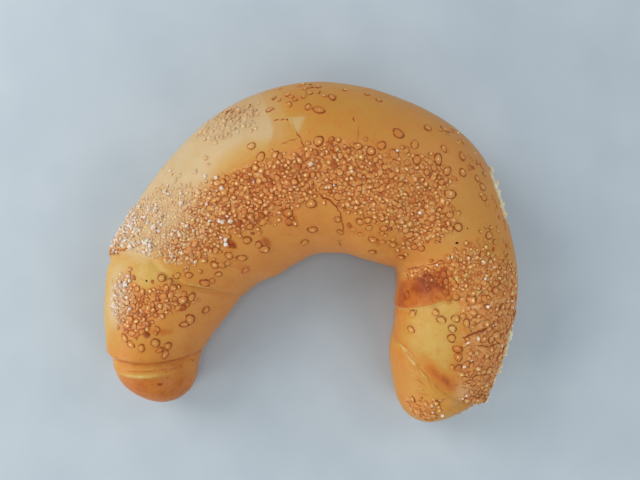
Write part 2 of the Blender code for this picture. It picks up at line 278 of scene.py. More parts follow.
def inside_mm(outline, along, angle):
    """Distance in mm inside an outline, less than 0 outside it."""
    along, turn = np.atleast_1d(along), np.atleast_1d(angle) * ANGLE_MM
    nearest = np.full(len(along), np.inf)
    beyond = np.zeros(len(along), int)
    for (along_0, angle_0), (along_1, angle_1) in zip(outline, outline[1:] + outline[:1]):
        run, climb = along_1 - along_0, (angle_1 - angle_0) * ANGLE_MM
        to_along, to_turn = along - along_0, turn - angle_0 * ANGLE_MM
        share = np.clip((to_along * run + to_turn * climb) / (run * run + climb * climb), 0, 1)
        nearest = np.minimum(nearest, np.hypot(to_along - share * run, to_turn - share * climb))
        if angle_0 != angle_1:
            crosses = (angle_0 * ANGLE_MM > turn) != (angle_1 * ANGLE_MM > turn)
            beyond += crosses & (along < along_0 + to_turn / climb * run)
    return np.where(beyond % 2 == 1, nearest, -nearest)


def in_patch(patch, along, angle, blur=0.3):
    """0 to 1 inside an oval patch, with an edge as soft as blur times its size."""
    centre, turn, half_length, half_width = patch
    reach = np.sqrt(((along - centre) / half_length) ** 2 + ((angle - turn) / half_width) ** 2)
    return soft(1 - reach, blur)


def crowding(along, angle, blur=1.2):
    """How thickly the blisters stand, 0 to 1."""
    return soft(np.max([inside_mm(area, along, angle) for area in CROWDS], 0), blur)


# Browning of the skin, from 0, pale dough, to 1, dark. A zone pulls it towards its own
# value: distance along, angle, half length, half width in degrees, edge blur, browning.
ZONES = (
    (36, 26, 17, 30, 0.35, 0.22),  # the yellowish outer side of the left horn
    (49, 66, 5.5, 24, 0.30, 0.11),  # the smooth cap below the left seam
    (24, 62, 9, 26, 0.45, 0.38),
    (17, 95, 6, 60, 0.45, 0.56),
    (4, 100, 8, 110, 0.35, 0.66),  # the left horn's end
    (75, 62, 30, 34, 0.35, 0.30),
    (93, 70, 8, 9, 0.25, 0.30),  # an olive-yellow patch above the crown band
    (107, 69, 3.4, 8, 0.12, 0.40),  # a patch of thicker glaze
    (71.9, 110, 1.7, 5.5, 0.15, 0.76),  # small red-brown stains between the blisters
    (73.7, 100.5, 1.2, 4, 0.2, 0.76),
    (83, 126, 1.6, 5, 0.3, 0.68),
    (98, 121, 2.4, 5, 0.3, 0.66),
    (66, 131, 2.0, 6, 0.35, 0.64),
    (29, 102, 1.2, 9, 0.3, 0.66),
    (210, 92, 2.2, 3.5, 0.2, 0.74),
    (168, 98, 6, 14, 0.4, 0.40),
    (170, 70, 10, 16, 0.4, 0.42),
    (9.2, 107, 0.5, 4.2, 0.2, 0.85),
    (204.5, 101, 3.2, 5, 0.2, 0.72),
)
CHIP = ((108.9, 61.5), (113.2, 63), (110.8, 72), (110.2, 73))  # a pale three-cornered chip of glaze


def red_fold(along, angle):
    """1 on the fold of the right arm that browned most, which ends at the right seam."""
    above_seam, _ = onto_lip(RIGHT_SEAM, along, angle)
    across = soft(angle - 104, 5) * soft(174 - angle, 9)
    return soft(above_seam, 0.45) * soft(along - 176.5, 2.0) * across


def band_tone(along, angle):
    """Browning of the skin between crowded blisters."""
    stations = (30, 46, 56, 70, 84, 100, 120, 160, 176, 230)
    tone = np.interp(along, stations, (0.62, 0.5, 0.4, 0.45, 0.53, 0.57, 0.50, 0.45, 0.45, 0.44))
    tone = tone + 0.08 * soft(angle - 96, 10) * soft(along - 50, 4) * soft(100 - along, 8)
    return towards(tone, 0.76, red_fold(along, angle))


def browning(along, angle):
    """Browning of the smooth skin: its zones, then what the lips and folds change."""
    value = 0.47 + 0.06 * soft(angle - 122, 14) - 0.04 * soft(50 - angle, 15) * soft(150 - along, 15)
    for *patch, blur, tone in ZONES:
        value = towards(value, tone, in_patch(patch, along, angle, blur))
    value = value - 0.10 * soft(inside_mm(CHIP, along, angle), 0.3)
    # the red fold, and the yellow skin on the other side of the right seam
    reddest = in_patch((182.6, 124, 3.6, 14), along, angle, 0.40)
    reddest = 0.71 + 0.10 * reddest + 0.05 * soft(angle - 156, 6) - 0.04 * soft(along - 187, 2)
    value = towards(value, reddest, red_fold(along, angle))
    above_seam, _ = onto_lip(RIGHT_SEAM, along, angle)
    fold, _ = onto_lip(RIGHT_TIP_LIP, along, angle)
    yellow = soft(-above_seam, 0.45) * soft(fold - 1.5, 2.2) * soft(angle - 96, 4) * soft(150 - angle, 9)
    value = towards(value, 0.25, yellow)
    # the right horn's end, browner towards its inner flank as painted shade; a darker line of
    # painted shade along the edge of the layer over it, and painted shade in the hollow above that
    lobe = soft(-fold, 0.8) * soft(along - 200, 3)
    ridge = 0.10 * hump(fold + 2.2, 1.3) * soft(angle - 132, 5)
    value = towards(value, 0.42 + 0.08 * soft(angle - 150, 10) - ridge, lobe)
    value = value + 0.10 * hump(fold - 0.4, 1.2) * soft(angle - 100, 6) * soft(160 - angle, 9)
    hollow_shade = hump(fold - 2.8, 2.8) * soft(angle - 86, 4) * soft(118 - angle, 6)
    value = towards(value, 0.71, hollow_shade)
    # the left horn's end: a dark line of painted shade along its lip, a pale flat beyond it,
    # and a pale line on the thin ridge that is partly a painted highlight
    onto_tip, _ = onto_lip(LEFT_TIP_LIP, along, angle)
    value = value + 0.13 * hump(onto_tip + 0.9, 0.8)
    value = value - 0.12 * hump(onto_tip + 2.6, 0.9) * soft(110 - angle, 14)
    value = value - 0.50 * hump(onto_tip + 5.1, 0.75) * hump(angle - 82, 30)
    # the pale edge of the left seam
    onto_cap, _ = onto_lip(LEFT_SEAM, along, angle)
    return value - 0.16 * hump(onto_cap - 0.6, 0.6) * hump(angle - 118, 16)


def paleness(along, angle):
    """A floury, less coloured skin from the left seam to the left of the crown."""
    border = np.interp(angle, (10, 44, 66, 72, 78), (104.5, 104.8, 104.5, 103.0, 99.5))
    upper = np.interp(along, (46, 58, 68, 78, 87, 96, 104), (62, 80, 80, 74, 66, 66, 76))
    shoulder = soft(border - along, 0.5 + 3 * soft(14 - angle, 5)) * soft(along - 52, 1.5)
    shoulder = shoulder * soft(upper - angle, 5)
    shoulder = shoulder * (1 - 0.45 * soft(along - 92, 4) * soft(44 - angle, 10))
    tan = 0.30 * in_patch((105, 50, 3.4, 26), along, angle, 0.25)
    tan = tan + 0.35 * in_patch((225, 79, 4, 8), along, angle)
    chip = 0.55 * soft(inside_mm(CHIP, along, angle), 0.3)
    return np.max([shoulder, in_patch((39, 50, 9, 14), along, angle, 0.3), tan, chip], 0)


def blush(along, angle):
    """How pink the baked skin is, 0 to 1: most between the crowded blisters."""
    inner_left = 0.30 * soft(angle - 108, 8) * soft(125 - along, 15) * soft(along - 24, 4)
    shoulder = 0.25 * soft(along - 134, 8) * soft(178 - along, 4)
    shoulder = shoulder * soft(angle - 20, 15) * soft(135 - angle, 10)
    stained = [in_patch(patch, along, angle, blur) for *patch, blur, tone in ZONES if tone > 0.65]
    pinkest = np.maximum(0.6 * crowding(along, angle, 2.0), np.maximum(inner_left, shoulder))
    return pinkest * (1 - np.max(stained, 0)) * (1 - red_fold(along, angle))


def noise_at(points, scale, seed):
    """Smooth noise, about -1 to 1, with features of the given size in millimetres."""
    shift = Vector((seed, seed * 0.37, -seed * 0.71))
    return np.array([noise.noise(Vector(p) / scale + shift) for p in points])


def skin_at(along, angle):
    """The finished skin: points of the crust with its fine relief, normals, coarse noise."""
    points, normals = crust(along, angle)
    turn = rim_angle(angle)
    coarse, middling = noise_at(points, 9.0, 3.0), noise_at(points, 2.6, 8.0)
    fine = noise_at(points, 1.1, 15.0)
    height = 0.10 * coarse + 0.03 * middling + 0.08 * crowding(along, turn) * fine
    height += 0.10 * red_fold(along, turn) * (middling + fine)
    # wrinkles on the right horn's end
    fold, _ = onto_lip(RIGHT_TIP_LIP, along, turn)
    wrinkled = soft(-fold - 0.8, 0.8) * soft(along - 200, 4) * soft(10 + fold, 3) * (0.6 + middling)
    wrinkles = np.sin(math.pi * fold / 2.3 + 2.0 * coarse + 0.6 * middling)
    height += 0.45 * wrinkled * (1 - np.abs(wrinkles))
    # a thin ridge and a groove beside the left horn's lip
    onto_tip, _ = onto_lip(LEFT_TIP_LIP, along, turn)
    height += (0.55 * hump(onto_tip + 5.3, 0.8) - 0.16 * hump(onto_tip + 3.7, 0.5)) * hump(turn - 90, 55)
    height = height * upper_share(along, angle, 30.0) - TORN_DEPTH * torn(along, angle)
    points = points + normals * height[:, None]
    points[:, 2] = np.maximum(points[:, 2], 0.0)
    return points, normals, coarse


# Torn places on the right side's outer flank: first and last distance along, lowest and
# highest angle, less than 0 below the rim.
TORN_PLACES = ((164.2, 176.0, -4, 36), (203.0, 212.6, -3, 38), (209.0, 231.0, -8, 32))
TORN_DEPTH = 0.9


def torn(along, angle, blur=0.08):
    """1 where the crumb lies bare in the torn places, whose edges are ragged."""
    around = np.mod(angle, 360.0)
    turn = np.where(around > 270.0, around - 360.0, around)
    total = np.zeros(len(along))
    for first, last, lowest, highest in TORN_PLACES:
        lengthwise = np.abs(2 * along - first - last) / (last - first)
        crosswise = np.abs(2 * turn - lowest - highest) / (highest - lowest)
        reach = (lengthwise**2.2 + crosswise**2.2) ** (1 / 2.2)
        for i in np.nonzero(reach < 1.6)[0]:
            place = Vector((along[i] * 0.45, turn[i] * 0.16, 3.0))
            jag = 0.45 * noise.noise(place) + 0.25 * noise.noise(place * 2.7)
            total[i] = max(total[i], min(max((1 + jag - reach[i]) / blur, 0.0), 1.0))
    return total


def store(mesh, **values):
    """Keeps a number for each vertex, which the materials read by name."""
    for name, numbers in values.items():
        made = mesh.attributes.new(name, "FLOAT", "POINT")
        made.data.foreach_set("value", np.asarray(numbers, np.float32))


def piece_from(bm, name):
    """A smooth-shaded object at the origin, with its place in its mesh."""
    mesh = bpy.data.meshes.new(name)
    bm.to_mesh(mesh)
    bm.free()
    mesh.shade_smooth()
    made = bpy.data.objects.new(name, mesh)
    bpy.context.scene.collection.objects.link(made)
    return made


STEPS_ALONG = 440
STEPS_ROUND = 216
LOWEST_FINE = -25.0  # angle below the outer rim from which the steps round are fine
FINE_SHARE = 0.88  # share of the steps round that lie from there to the inner rim

# The skin starts as a tube spun about X, whose x and turn say where a point lies.
bm = bmesh.new()
even = np.linspace(0, 1, STEPS_ALONG + 1)
stations = LENGTH * (0.8 * even + 0.2 * (1 - np.cos(math.pi * even)) / 2)
rim = [bm.verts.new((x, 0.0, 1.0 if 0 < i < STEPS_ALONG else 0.0)) for i, x in enumerate(stations)]
edges = [bm.edges.new(pair) for pair in zip(rim[:-1], rim[1:])]
bmesh.ops.spin(
    bm, geom=rim + edges, cent=(0, 0, 0), axis=(1, 0, 0), dvec=(0, 0, 0),
    angle=math.tau, steps=STEPS_ROUND, use_merge=True, use_normal_flip=False, use_duplicate=False,
)
bmesh.ops.remove_doubles(bm, verts=bm.verts, dist=1e-6)
bmesh.ops.recalc_face_normals(bm, faces=bm.faces)
skin = piece_from(bm, "crust_skin")
tube = np.empty(len(skin.data.vertices) * 3)
skin.data.vertices.foreach_get("co", tube)
tube = tube.reshape(-1, 3)
turn_share = np.mod(np.arctan2(tube[:, 2], tube[:, 1]) / math.tau, 1.0)
skin_along = tube[:, 0]
skin_angle = np.where(
    turn_share < FINE_SHARE,
    LOWEST_FINE + turn_share / FINE_SHARE * (180.0 - LOWEST_FINE),
    180.0 + (turn_share - FINE_SHARE) / (1 - FINE_SHARE) * (180.0 + LOWEST_FINE),
)
skin_angle = np.mod(skin_angle, 360.0)
skin_points, _, skin_coarse = skin_at(skin_along, skin_angle)
skin.data.vertices.foreach_set("co", (skin_points * MM).ravel())


class Sock:
    """A node socket that can be used in an expression, which then adds Math nodes."""

    def __init__(self, tree, socket):
        self.tree, self.socket = tree, socket

    def math(self, operation, *others, clamp=False):
        settings = {"operation": operation, "use_clamp": clamp}
        return node(self.tree, "ShaderNodeMath", settings, {0: self}, *others)

    def __add__(self, other):
        return self.math("ADD", other)

    def __sub__(self, other):
        return self.math("SUBTRACT", other)

    def __mul__(self, other):
        return self.math("MULTIPLY", other)

    def __rsub__(self, other):
        return (self * -1) + other

    __radd__, __rmul__ = __add__, __mul__

    def clamp(self):
        return self.math("ADD", 0.0, clamp=True)


def node(tree, kind, settings, inputs=None, *more, out=0):
    """Adds a node: its settings first, then the values or links of its sockets."""
    made = tree.nodes.new(kind)
    for name, value in settings.items():
        setattr(made, name, value)
    sockets = dict(inputs or {})
    sockets.update({index + 1: value for index, value in enumerate(more)})
    for key, value in sockets.items():
        if isinstance(value, Sock):
            tree.links.new(value.socket, made.inputs[key])
        else:
            made.inputs[key].default_value = value
    return Sock(tree, made.outputs[out])


def linear(colour):
    """Linear RGBA from an sRGB colour of 0 to 255."""
    share = np.array(colour) / 255
    return (*np.where(share <= 0.04045, share / 12.92, ((share + 0.055) / 1.055) ** 2.4), 1.0)


def ramp(tree, value, stops):
    """A colour for each value, from stops of (value, colour)."""
    made = tree.nodes.new("ShaderNodeValToRGB")
    elements = made.color_ramp.elements
    while len(elements) < len(stops):
        elements.new(0.5)
    for element, (place, colour) in zip(elements, stops):
        element.position, element.color = place, linear(colour)
    tree.links.new(value.socket, made.inputs[0])
    return Sock(tree, made.outputs[0])


def blend(tree, factor, under, over):
    """Colour over lies on colour under, by factor."""
    made = tree.nodes.new("ShaderNodeMix")
    made.data_type = "RGBA"
    for socket, value in zip((made.inputs[0], made.inputs[6], made.inputs[7]), (factor, under, over)):
        if isinstance(value, Sock):
            tree.links.new(value.socket, socket)
        else:
            socket.default_value = value
    return Sock(tree, made.outputs[2])


def attribute(tree, name):
    """A number kept on the vertices."""
    return node(tree, "ShaderNodeAttribute", {"attribute_name": name}, out=2)


def speckle(tree, size, detail=2.0):
    """Noise of about 0 to 1 on the object's own coordinates, its features size mm across."""
    place = node(tree, "ShaderNodeTexCoord", {}, out=3)
    sockets = {"Vector": place, "Scale": 1 / (size * MM), "Detail": detail}
    return node(tree, "ShaderNodeTexNoise", {}, sockets)


def new_material(name, roughness, **constants):
    """A material, its node tree and its shader, with the constants set on the shader."""
    made = bpy.data.materials.new(name)
    made.use_nodes = True
    shader = made.node_tree.nodes["Principled BSDF"]
    shader.inputs["Roughness"].default_value = roughness
    for key, value in constants.items():
        shader.inputs[key.replace("_", " ")].default_value = value
    return made, made.node_tree, shader


def feed(tree, shader, **sources):
    """Links what varies over the surface to the shader."""
    for key, source in sources.items():
        tree.links.new(source.socket, shader.inputs[key.replace("_", " ")])


# Colours as sRGB values of 0 to 255; those of the skin go by its browning.
BROWNING_COLOURS = (
    (0.00, (226, 202, 148)),
    (0.20, (208, 170, 92)),
    (0.40, (203, 146, 64)),
    (0.50, (206, 138, 60)),
    (0.65, (196, 114, 46)),
    (0.80, (158, 72, 26)),
    (1.00, (88, 38, 18)),
)
PALE_SKIN = (209, 184, 142)
BLUSH_COLOUR = (222, 148, 84)
CRUMB_COLOUR = (234, 212, 166)
FOOT_BROWN_AND_SHADE_COLOUR = (146, 66, 18)
RED_FLECK, PALE_FLECK = (176, 76, 30), (228, 196, 140)
HIGHLIGHT_COLOURS = ((255, 206, 150), (240, 222, 150))


def baked_skin(name, roughness, specular):
    """The crust's finish, on the values kept on the vertices: browning from 0, pale dough,
    to 1, dark; blush for pinker skin; pale for floury skin; torn for bare crumb; foot for
    the dark ring round a blister, browned and with painted shade in the crease at its foot;
    spot for the paler thin skin on its top with a painted highlight on it; flecks for the
    crust of dried wash, light and red-brown bits, between and on the crowded blisters."""
    made, tree, shader = new_material(name, roughness, Specular_IOR_Level=specular)
    grain, cloud, swirl = speckle(tree, 0.7), speckle(tree, 5.0), speckle(tree, 2.2, 4.0)
    pinpricks = ((speckle(tree, 1.1, 1.0) - 0.66) * 7.0).clamp() * 0.16
    mottle = (grain - 0.5) * 0.12 + (cloud - 0.5) * 0.16 + (swirl - 0.5) * 0.18
    colour = ramp(tree, (attribute(tree, "browning") + mottle + pinpricks).clamp(), BROWNING_COLOURS)
    pinker = (attribute(tree, "blush") * (0.7 + swirl * 0.6)).clamp()
    colour = blend(tree, pinker, colour, linear(BLUSH_COLOUR))
    floury = (attribute(tree, "pale") * (0.25 + cloud * 0.7 + swirl * 0.5)).clamp()
    colour = blend(tree, floury, colour, linear(PALE_SKIN))
    bare = (attribute(tree, "torn") * (0.3 + grain * 1.4)).clamp()
    colour = blend(tree, bare, colour, linear(CRUMB_COLOUR))
    bits, amount = speckle(tree, 1.5, 3.0), attribute(tree, "flecks")
    colour = blend(tree, ((0.46 - bits) * 9.0).clamp() * amount * 0.45, colour, linear(RED_FLECK))
    colour = blend(tree, ((bits - 0.56) * 9.0).clamp() * amount * 0.55, colour, linear(PALE_FLECK))
    # dark ring at each foot: browning, with painted shade in the crease round the dome
    foot_ring_and_shade = (attribute(tree, "foot") * 2.2 + (grain - 0.5) * 2.0 - 0.55).clamp() * 0.9
    colour = blend(tree, foot_ring_and_shade, colour, linear(FOOT_BROWN_AND_SHADE_COLOUR))
    # painted highlight: a cream spot on each blister's top, also its paler thin skin
    light = blend(tree, ((swirl - 0.42) * 6.0).clamp(), *(linear(shade) for shade in HIGHLIGHT_COLOURS))
    top = (attribute(tree, "spot") * 2.6 + (grain - 0.5) * 3.0 - 0.9).clamp() * 0.95
    colour = blend(tree, top, colour, light)
    bump = node(
        tree, "ShaderNodeBump", {},
        {"Strength": 0.4, "Distance": 0.15 * MM, "Height": speckle(tree, 0.5) * 0.4 + swirl * 0.6},
    )
    rough = (grain * 0.14 + (roughness - 0.07)).clamp()
    feed(tree, shader, Base_Color=colour, Normal=bump, Roughness=rough)
    return made


skin.data.materials.append(baked_skin("baked_crust", 0.42, 0.22))

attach(skin, "root")
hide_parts("crescent_roll")

# ---------------------------------------------------------------------------------------
# Seams, cracks and creases: thin lines where the skin split or folded in the oven, and two
# dark lines of painted shade below raised edges. Each is a raised strip along the skin with
# a split or a ridge down its middle.
# ---------------------------------------------------------------------------------------

CREASES = (
    # half width, lift of the edges, lift of the middle, browning of the middle (painted shade
    # for the two shade lines), path
    (1.15, 0.22, 0.02, 1.00, ((205, 92), (204, 86), (203, 78), (202, 69), (203, 64))),
    (0.85, 0.20, 0.02, 0.94, ((207.8, 78), (208.6, 64), (207.4, 57), (208, 50))),
    (0.65, 0.12, 0.02, 0.98, ((112, 109), (113.2, 112.5), (115.5, 114), (118, 119), (119.5, 123))),
    (0.75, 0.14, 0.02, 0.96, ((167, 150), (169.1, 146), (169.7, 140), (171.8, 135), (171.8, 129))),
    (0.60, 0.14, 0.02, 0.90, ((172.4, 126), (174.2, 120), (174.0, 114), (175.6, 108))),
    (0.60, 0.12, 0.02, 0.96, ((119.5, 122), (119.5, 129), (120, 133), (120, 141))),
    (0.45, 0.10, 0.02, 0.85, ((118.3, 148), (117, 150), (117.5, 154), (118, 157))),
    (0.45, 0.12, 0.02, 0.98, ((79.5, 97), (80.8, 95.5), (82, 95))),
    (0.40, 0.10, 0.02, 0.92, ((92.5, 82.5), (93.4, 82.8), (94, 84.5))),
    (0.45, 0.08, 0.03, 0.86, ((110.5, 77), (111, 82), (110.7, 85), (111, 89))),
    (0.40, 0.08, 0.03, 0.90, ((126, 63), (126.3, 66.5))),
    (0.35, 0.06, 0.02, 0.72, ((127, 68), (127.3, 73), (127, 79))),
    (0.45, 0.10, 0.03, 0.94, ((124, 85), (124.3, 90))),
    (0.45, 0.10, 0.03, 0.92, ((129, 88), (129.3, 93))),
    (0.55, 0.14, 0.04, 0.88, ((50.2, 18), (50.6, 26), (51.5, 36), (52.4, 45), (53.6, 52))),
    # a dark line of painted shade below the left seam's pale edge
    (0.50, 0.05, 0.02, 0.72, ((47.0, 105), (47.1, 116), (47.3, 132))),
    (0.45, 0.05, 0.22, 0.10, ((48.4, 104), (48.6, 116), (48.7, 131))),
    (0.40, 0.05, 0.02, 0.99, ((105.2, 60.2), (106.5, 61.2))),
    (0.40, 0.05, 0.02, 0.99, ((106.9, 61.4), (107.9, 61.8))),
    (0.40, 0.05, 0.02, 0.99, ((108.2, 62.0), (108.9, 62.3))),
    # a dark line of painted shade along the chip's lower edge
    (0.40, 0.05, 0.02, 0.78, ((104.8, 77.5), (107.5, 77.2), (110, 76.5))),
    (0.40, 0.06, 0.02, 0.92, ((110.2, 72), (110.6, 77))),
    (0.35, 0.03, 0.18, 0.12, ((109.2, 61.5), (109.5, 66), (109.9, 72))),
    (0.40, 0.05, 0.02, 0.76, ((14.0, 60), (13.7, 70), (13.7, 80))),
    (0.40, 0.05, 0.02, 0.78, ((13.8, 84), (13.9, 93), (14.2, 103))),
    (0.40, 0.05, 0.02, 0.76, ((14.6, 108), (15.0, 118))),
    (1.20, 0.10, 0.42, 0.12, ((209.3, 155), (211.0, 148), (212.8, 142))),
    (1.20, 0.10, 0.42, 0.10, ((213.8, 140), (215.6, 135), (217.2, 128))),
    (1.00, 0.08, 0.36, 0.16, ((218.6, 125), (220.2, 119), (222.0, 113))),
    (0.80, 0.05, 0.30, 0.28, ((221.2, 138), (221.0, 130), (222.0, 123))),
    (0.80, 0.05, 0.30, 0.28, ((224.8, 134), (225.6, 127), (225.2, 119))),
    (0.40, 0.04, 0.02, 0.68, ((222.4, 132), (222.2, 126), (223.2, 119))),
    (0.40, 0.04, 0.02, 0.68, ((226.4, 128), (226.6, 120), (226.9, 112))),
    (0.40, 0.04, 0.02, 0.74, ((227.4, 90), (227.8, 98), (228.2, 106))),
    (0.40, 0.05, 0.02, 0.78, ((14.3, 121), (14.6, 127), (15.0, 132))),
    (0.40, 0.05, 0.02, 0.80, ((15.3, 134), (15.9, 141))),
    (0.50, 0.14, 0.02, 0.84, ((17.0, 156), (16.4, 160), (17.0, 164))),
    (
        0.45, 0.05, 0.20, 0.14,
        ((192.6, 172), (192.8, 156), (192.8, 142), (192.6, 129), (192.2, 119), (191.4, 110)),
    ),
    # chips of dried wash
    (1.10, 0.12, 0.24, 0.34, ((171.8, 144), (173.6, 136), (174.6, 130))),
    (0.60, 0.12, 0.24, 0.08, ((174.6, 134), (175.4, 128))),
    (0.75, 0.12, 0.26, 0.02, ((180.6, 98), (181.9, 101))),
    (0.95, 0.12, 0.26, 0.04, ((182.9, 101), (184.3, 98.5), (184.6, 96))),
    (0.60, 0.12, 0.22, 0.06, ((184.2, 93), (183.0, 90.5))),
    (0.45, 0.10, 0.20, 0.08, ((186.3, 97), (187.2, 99))),
    (0.80, 0.12, 0.26, 0.04, ((190.0, 80), (191.0, 84))),
    (0.55, 0.12, 0.22, 0.06, ((190.8, 86), (190.2, 88.5))),
    (0.70, 0.10, 0.22, 0.04, ((176.6, 113), (178.0, 116))),
    (0.80, 0.12, 0.24, 0.03, ((227.6, 98), (228.4, 102))),
    (0.60, 0.12, 0.22, 0.06, ((228.6, 105), (228.0, 109))),
)


def strip_along(bm, layer, half_width, edge_lift, middle_lift, tone, path):
    """A strip on the skin, four faces across, that wanders a little and ends in points."""
    corners = np.array(path, float)
    pieces = np.hypot(np.diff(corners[:, 0]), ANGLE_MM * np.diff(corners[:, 1]))
    corner_at = np.concatenate(([0.0], np.cumsum(pieces)))
    steps = max(6, int(corner_at[-1] / 0.35))
    made = bmesh.ops.create_grid(bm, x_segments=steps, y_segments=4, size=0.5)["verts"]
    share = np.array([v.co[:2] for v in made]) + 0.5
    run, across = share[:, 0] * corner_at[-1], 1 - np.rint(share[:, 1] * 4) / 2

    def on_path(distance):
        return [np.interp(distance, corner_at, corners[:, axis]) for axis in (0, 1)]

    after, before = on_path(run + 0.3), on_path(run - 0.3)
    ahead = np.column_stack((after[0] - before[0], (after[1] - before[1]) * ANGLE_MM))
    ahead /= np.maximum(np.linalg.norm(ahead, axis=1), 1e-6)[:, None]
    wander = np.array([noise.noise(Vector((x * 0.8, corners[0, 0], corners[0, 1]))) for x in run])
    taper = np.sqrt(np.clip(np.sin(math.pi * np.clip(share[:, 0], 0.02, 0.98)), 0, 1))
    aside = 0.45 * wander + across * half_width * taper * (0.9 + 0.8 * wander[::-1])
    along, angle = on_path(run)
    along, angle = along - ahead[:, 1] * aside, angle + ahead[:, 0] * aside / ANGLE_MM
    points, normals, _ = skin_at(along, angle)
    lift = np.where(np.abs(across) > 0.9, -0.05, np.where(across == 0, middle_lift, edge_lift))
    own = towards(browning(along, angle), band_tone(along, angle), crowding(along, angle))
    own = towards(own, tone, np.clip(1 - 1.3 * np.abs(across), 0, 1))
    for vert, point, value in zip(made, points + normals * lift[:, None], own):
        vert.co = point * MM
        vert[layer] = value


bm = bmesh.new()
browning_layer = bm.verts.layers.float.new("browning")
for crease in CREASES:
    strip_along(bm, browning_layer, *crease)
creases = piece_from(bm, "seams_and_cracks")
creases.data.materials.append(baked_skin("crease_skin", 0.5, 0.3))
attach(creases, "root")
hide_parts("crescent_roll")

# ---------------------------------------------------------------------------------------
# Large blisters: bubbles that the salty wash raised on the skin in the oven. Each is a
# low dome whose foot browned to a dark ring, darkened further by painted shade in the
# crease at its foot, and whose top is paler with a painted highlight. They are those of
# the solid, some alone on the smooth skin and the others among the crowded ones.
# ---------------------------------------------------------------------------------------

LONE_BLISTERS = (
    # distance along, angle, radius: between the left horn's end and its cluster
    (24, 74, 1.4), (23, 86, 1.4), (25, 98, 1.7), (24, 111, 1.5), (22.5, 104, 1.2), (21, 111, 1.4),
    (26, 66, 1.5), (28, 74, 1.4), (30, 96, 1.0), (34, 121, 1.9), (32, 118, 1.4), (38, 132, 1.5),
    # between the cluster and the crown band
    (48, 88, 1.5), (45, 93, 1.3), (45.5, 98, 1.3), (42, 93, 1.5), (41.5, 108, 1.7), (43, 114, 1.5),
    (43, 72, 1.2), (52, 104, 1.3), (50.5, 97, 1.3),
    # inner side of the left half
    (50.5, 118, 1.7), (52.5, 122, 1.2), (57, 122, 1.3), (60.5, 114, 1.5), (62, 118, 1.3),
    (67.5, 116, 1.5), (70, 124, 1.5), (65.5, 135, 1.5), (77.5, 116, 1.5), (82, 110, 1.3),
    (79.5, 124, 1.3), (80, 130, 1.8), (87, 113, 1.4), (98, 116, 1.8), (96.5, 122, 1.4),
    (105, 134, 1.6), (98.5, 144, 1.5), (108, 115, 1.8),
    # inner side of the right half
    (119, 112, 1.4), (118, 128, 1.3), (118.5, 139, 1.2), (128, 127, 1.4), (131.5, 124, 1.4),
    (135, 138, 1.6), (136, 152, 1.5), (139, 126, 1.3), (146, 137, 1.5), (155, 147, 1.5),
    (152, 124, 1.6), (158, 130, 1.3), (162, 126, 1.3),
    # along the upper edge of the crown band
    (97, 71, 1.4), (98, 80, 1.6), (95, 84, 1.4), (115.5, 80, 1.7), (127, 82, 1.4), (131, 83, 1.6),
    (134, 78, 1.6), (138.5, 66, 1.9), (138, 81, 1.9), (143.5, 69, 1.6), (145, 78, 1.6),
    (150.5, 70, 1.8), (154, 73, 1.6), (158, 84, 1.9), (162, 93, 1.3), (167.5, 91, 1.6),
    # on the crown
    (121, 47, 1.5), (115.5, 42, 1.2), (114.5, 56, 1.3), (117, 59, 1.7), (110, 51, 1.3), (105, 50, 1.1),
    (114, 46, 1.0), (130, 37, 1.1), (133, 41, 1.1), (118, 33, 1.2), (111, 44, 1.0),
    # on the right shoulder
    (146, 50, 1.5), (150, 41, 1.5), (151, 60, 1.3), (156, 54, 1.5), (158, 65, 1.5), (162.5, 56, 1.3),
    (165, 55, 1.5), (167, 59, 1.3), (162, 40, 1.2), (163.5, 43, 1.2), (175.5, 65, 1.6),
    # on the right arm
    (186, 152, 1.5), (195, 142, 1.5), (202, 140, 1.4), (195, 118, 1.3), (198, 112, 1.5),
    (198, 100, 1.5), (201.5, 102, 1.5), (205, 101, 1.5), (209, 94, 1.5), (212, 91, 1.5),
    (215.5, 94, 1.0), (200, 91, 1.5),
)
CROWDED_COUNT = 100
CROWDED_RADIUS = (0.95, 1.35)
CROWDED_SPACING = 1.2  # least distance of two blisters, as a share of their radii together
LARGE_SIDES = 18
LARGE_RINGS = (0.14, 0.28, 0.42, 0.56, 0.70, 0.84, 0.96, 1.12)


def solid_blisters():
    """Distance along, angle and radius of the solid's blisters, drawn in the same order."""
    draw = np.random.default_rng(11)
    places = np.array(LONE_BLISTERS, float)
    centres, _ = crust(places[:, 0], places[:, 1])
    while len(places) < len(LONE_BLISTERS) + CROWDED_COUNT:
        along, angle = draw.uniform(0, LENGTH), draw.uniform(0, 180.0)
        radius = draw.uniform(*CROWDED_RADIUS)
        if max(inside_mm(area, along, angle)[0] for area in CROWDS) > 0:
            centre, _ = crust(np.array([along]), np.array([angle]))
            apart = np.linalg.norm(centres - centre, axis=1)
            if (apart > CROWDED_SPACING * (places[:, 2] + radius)).all():
                places = np.vstack((places, (along, angle, radius)))
                centres = np.vstack((centres, centre))
    return places


def arrays_of(bm):
    """Points and faces of a small shape, to be copied many times."""
    points = np.array([v.co[:] for v in bm.verts])
    faces = [[v.index for v in f.verts] for f in bm.faces]
    bm.free()
    return points, faces


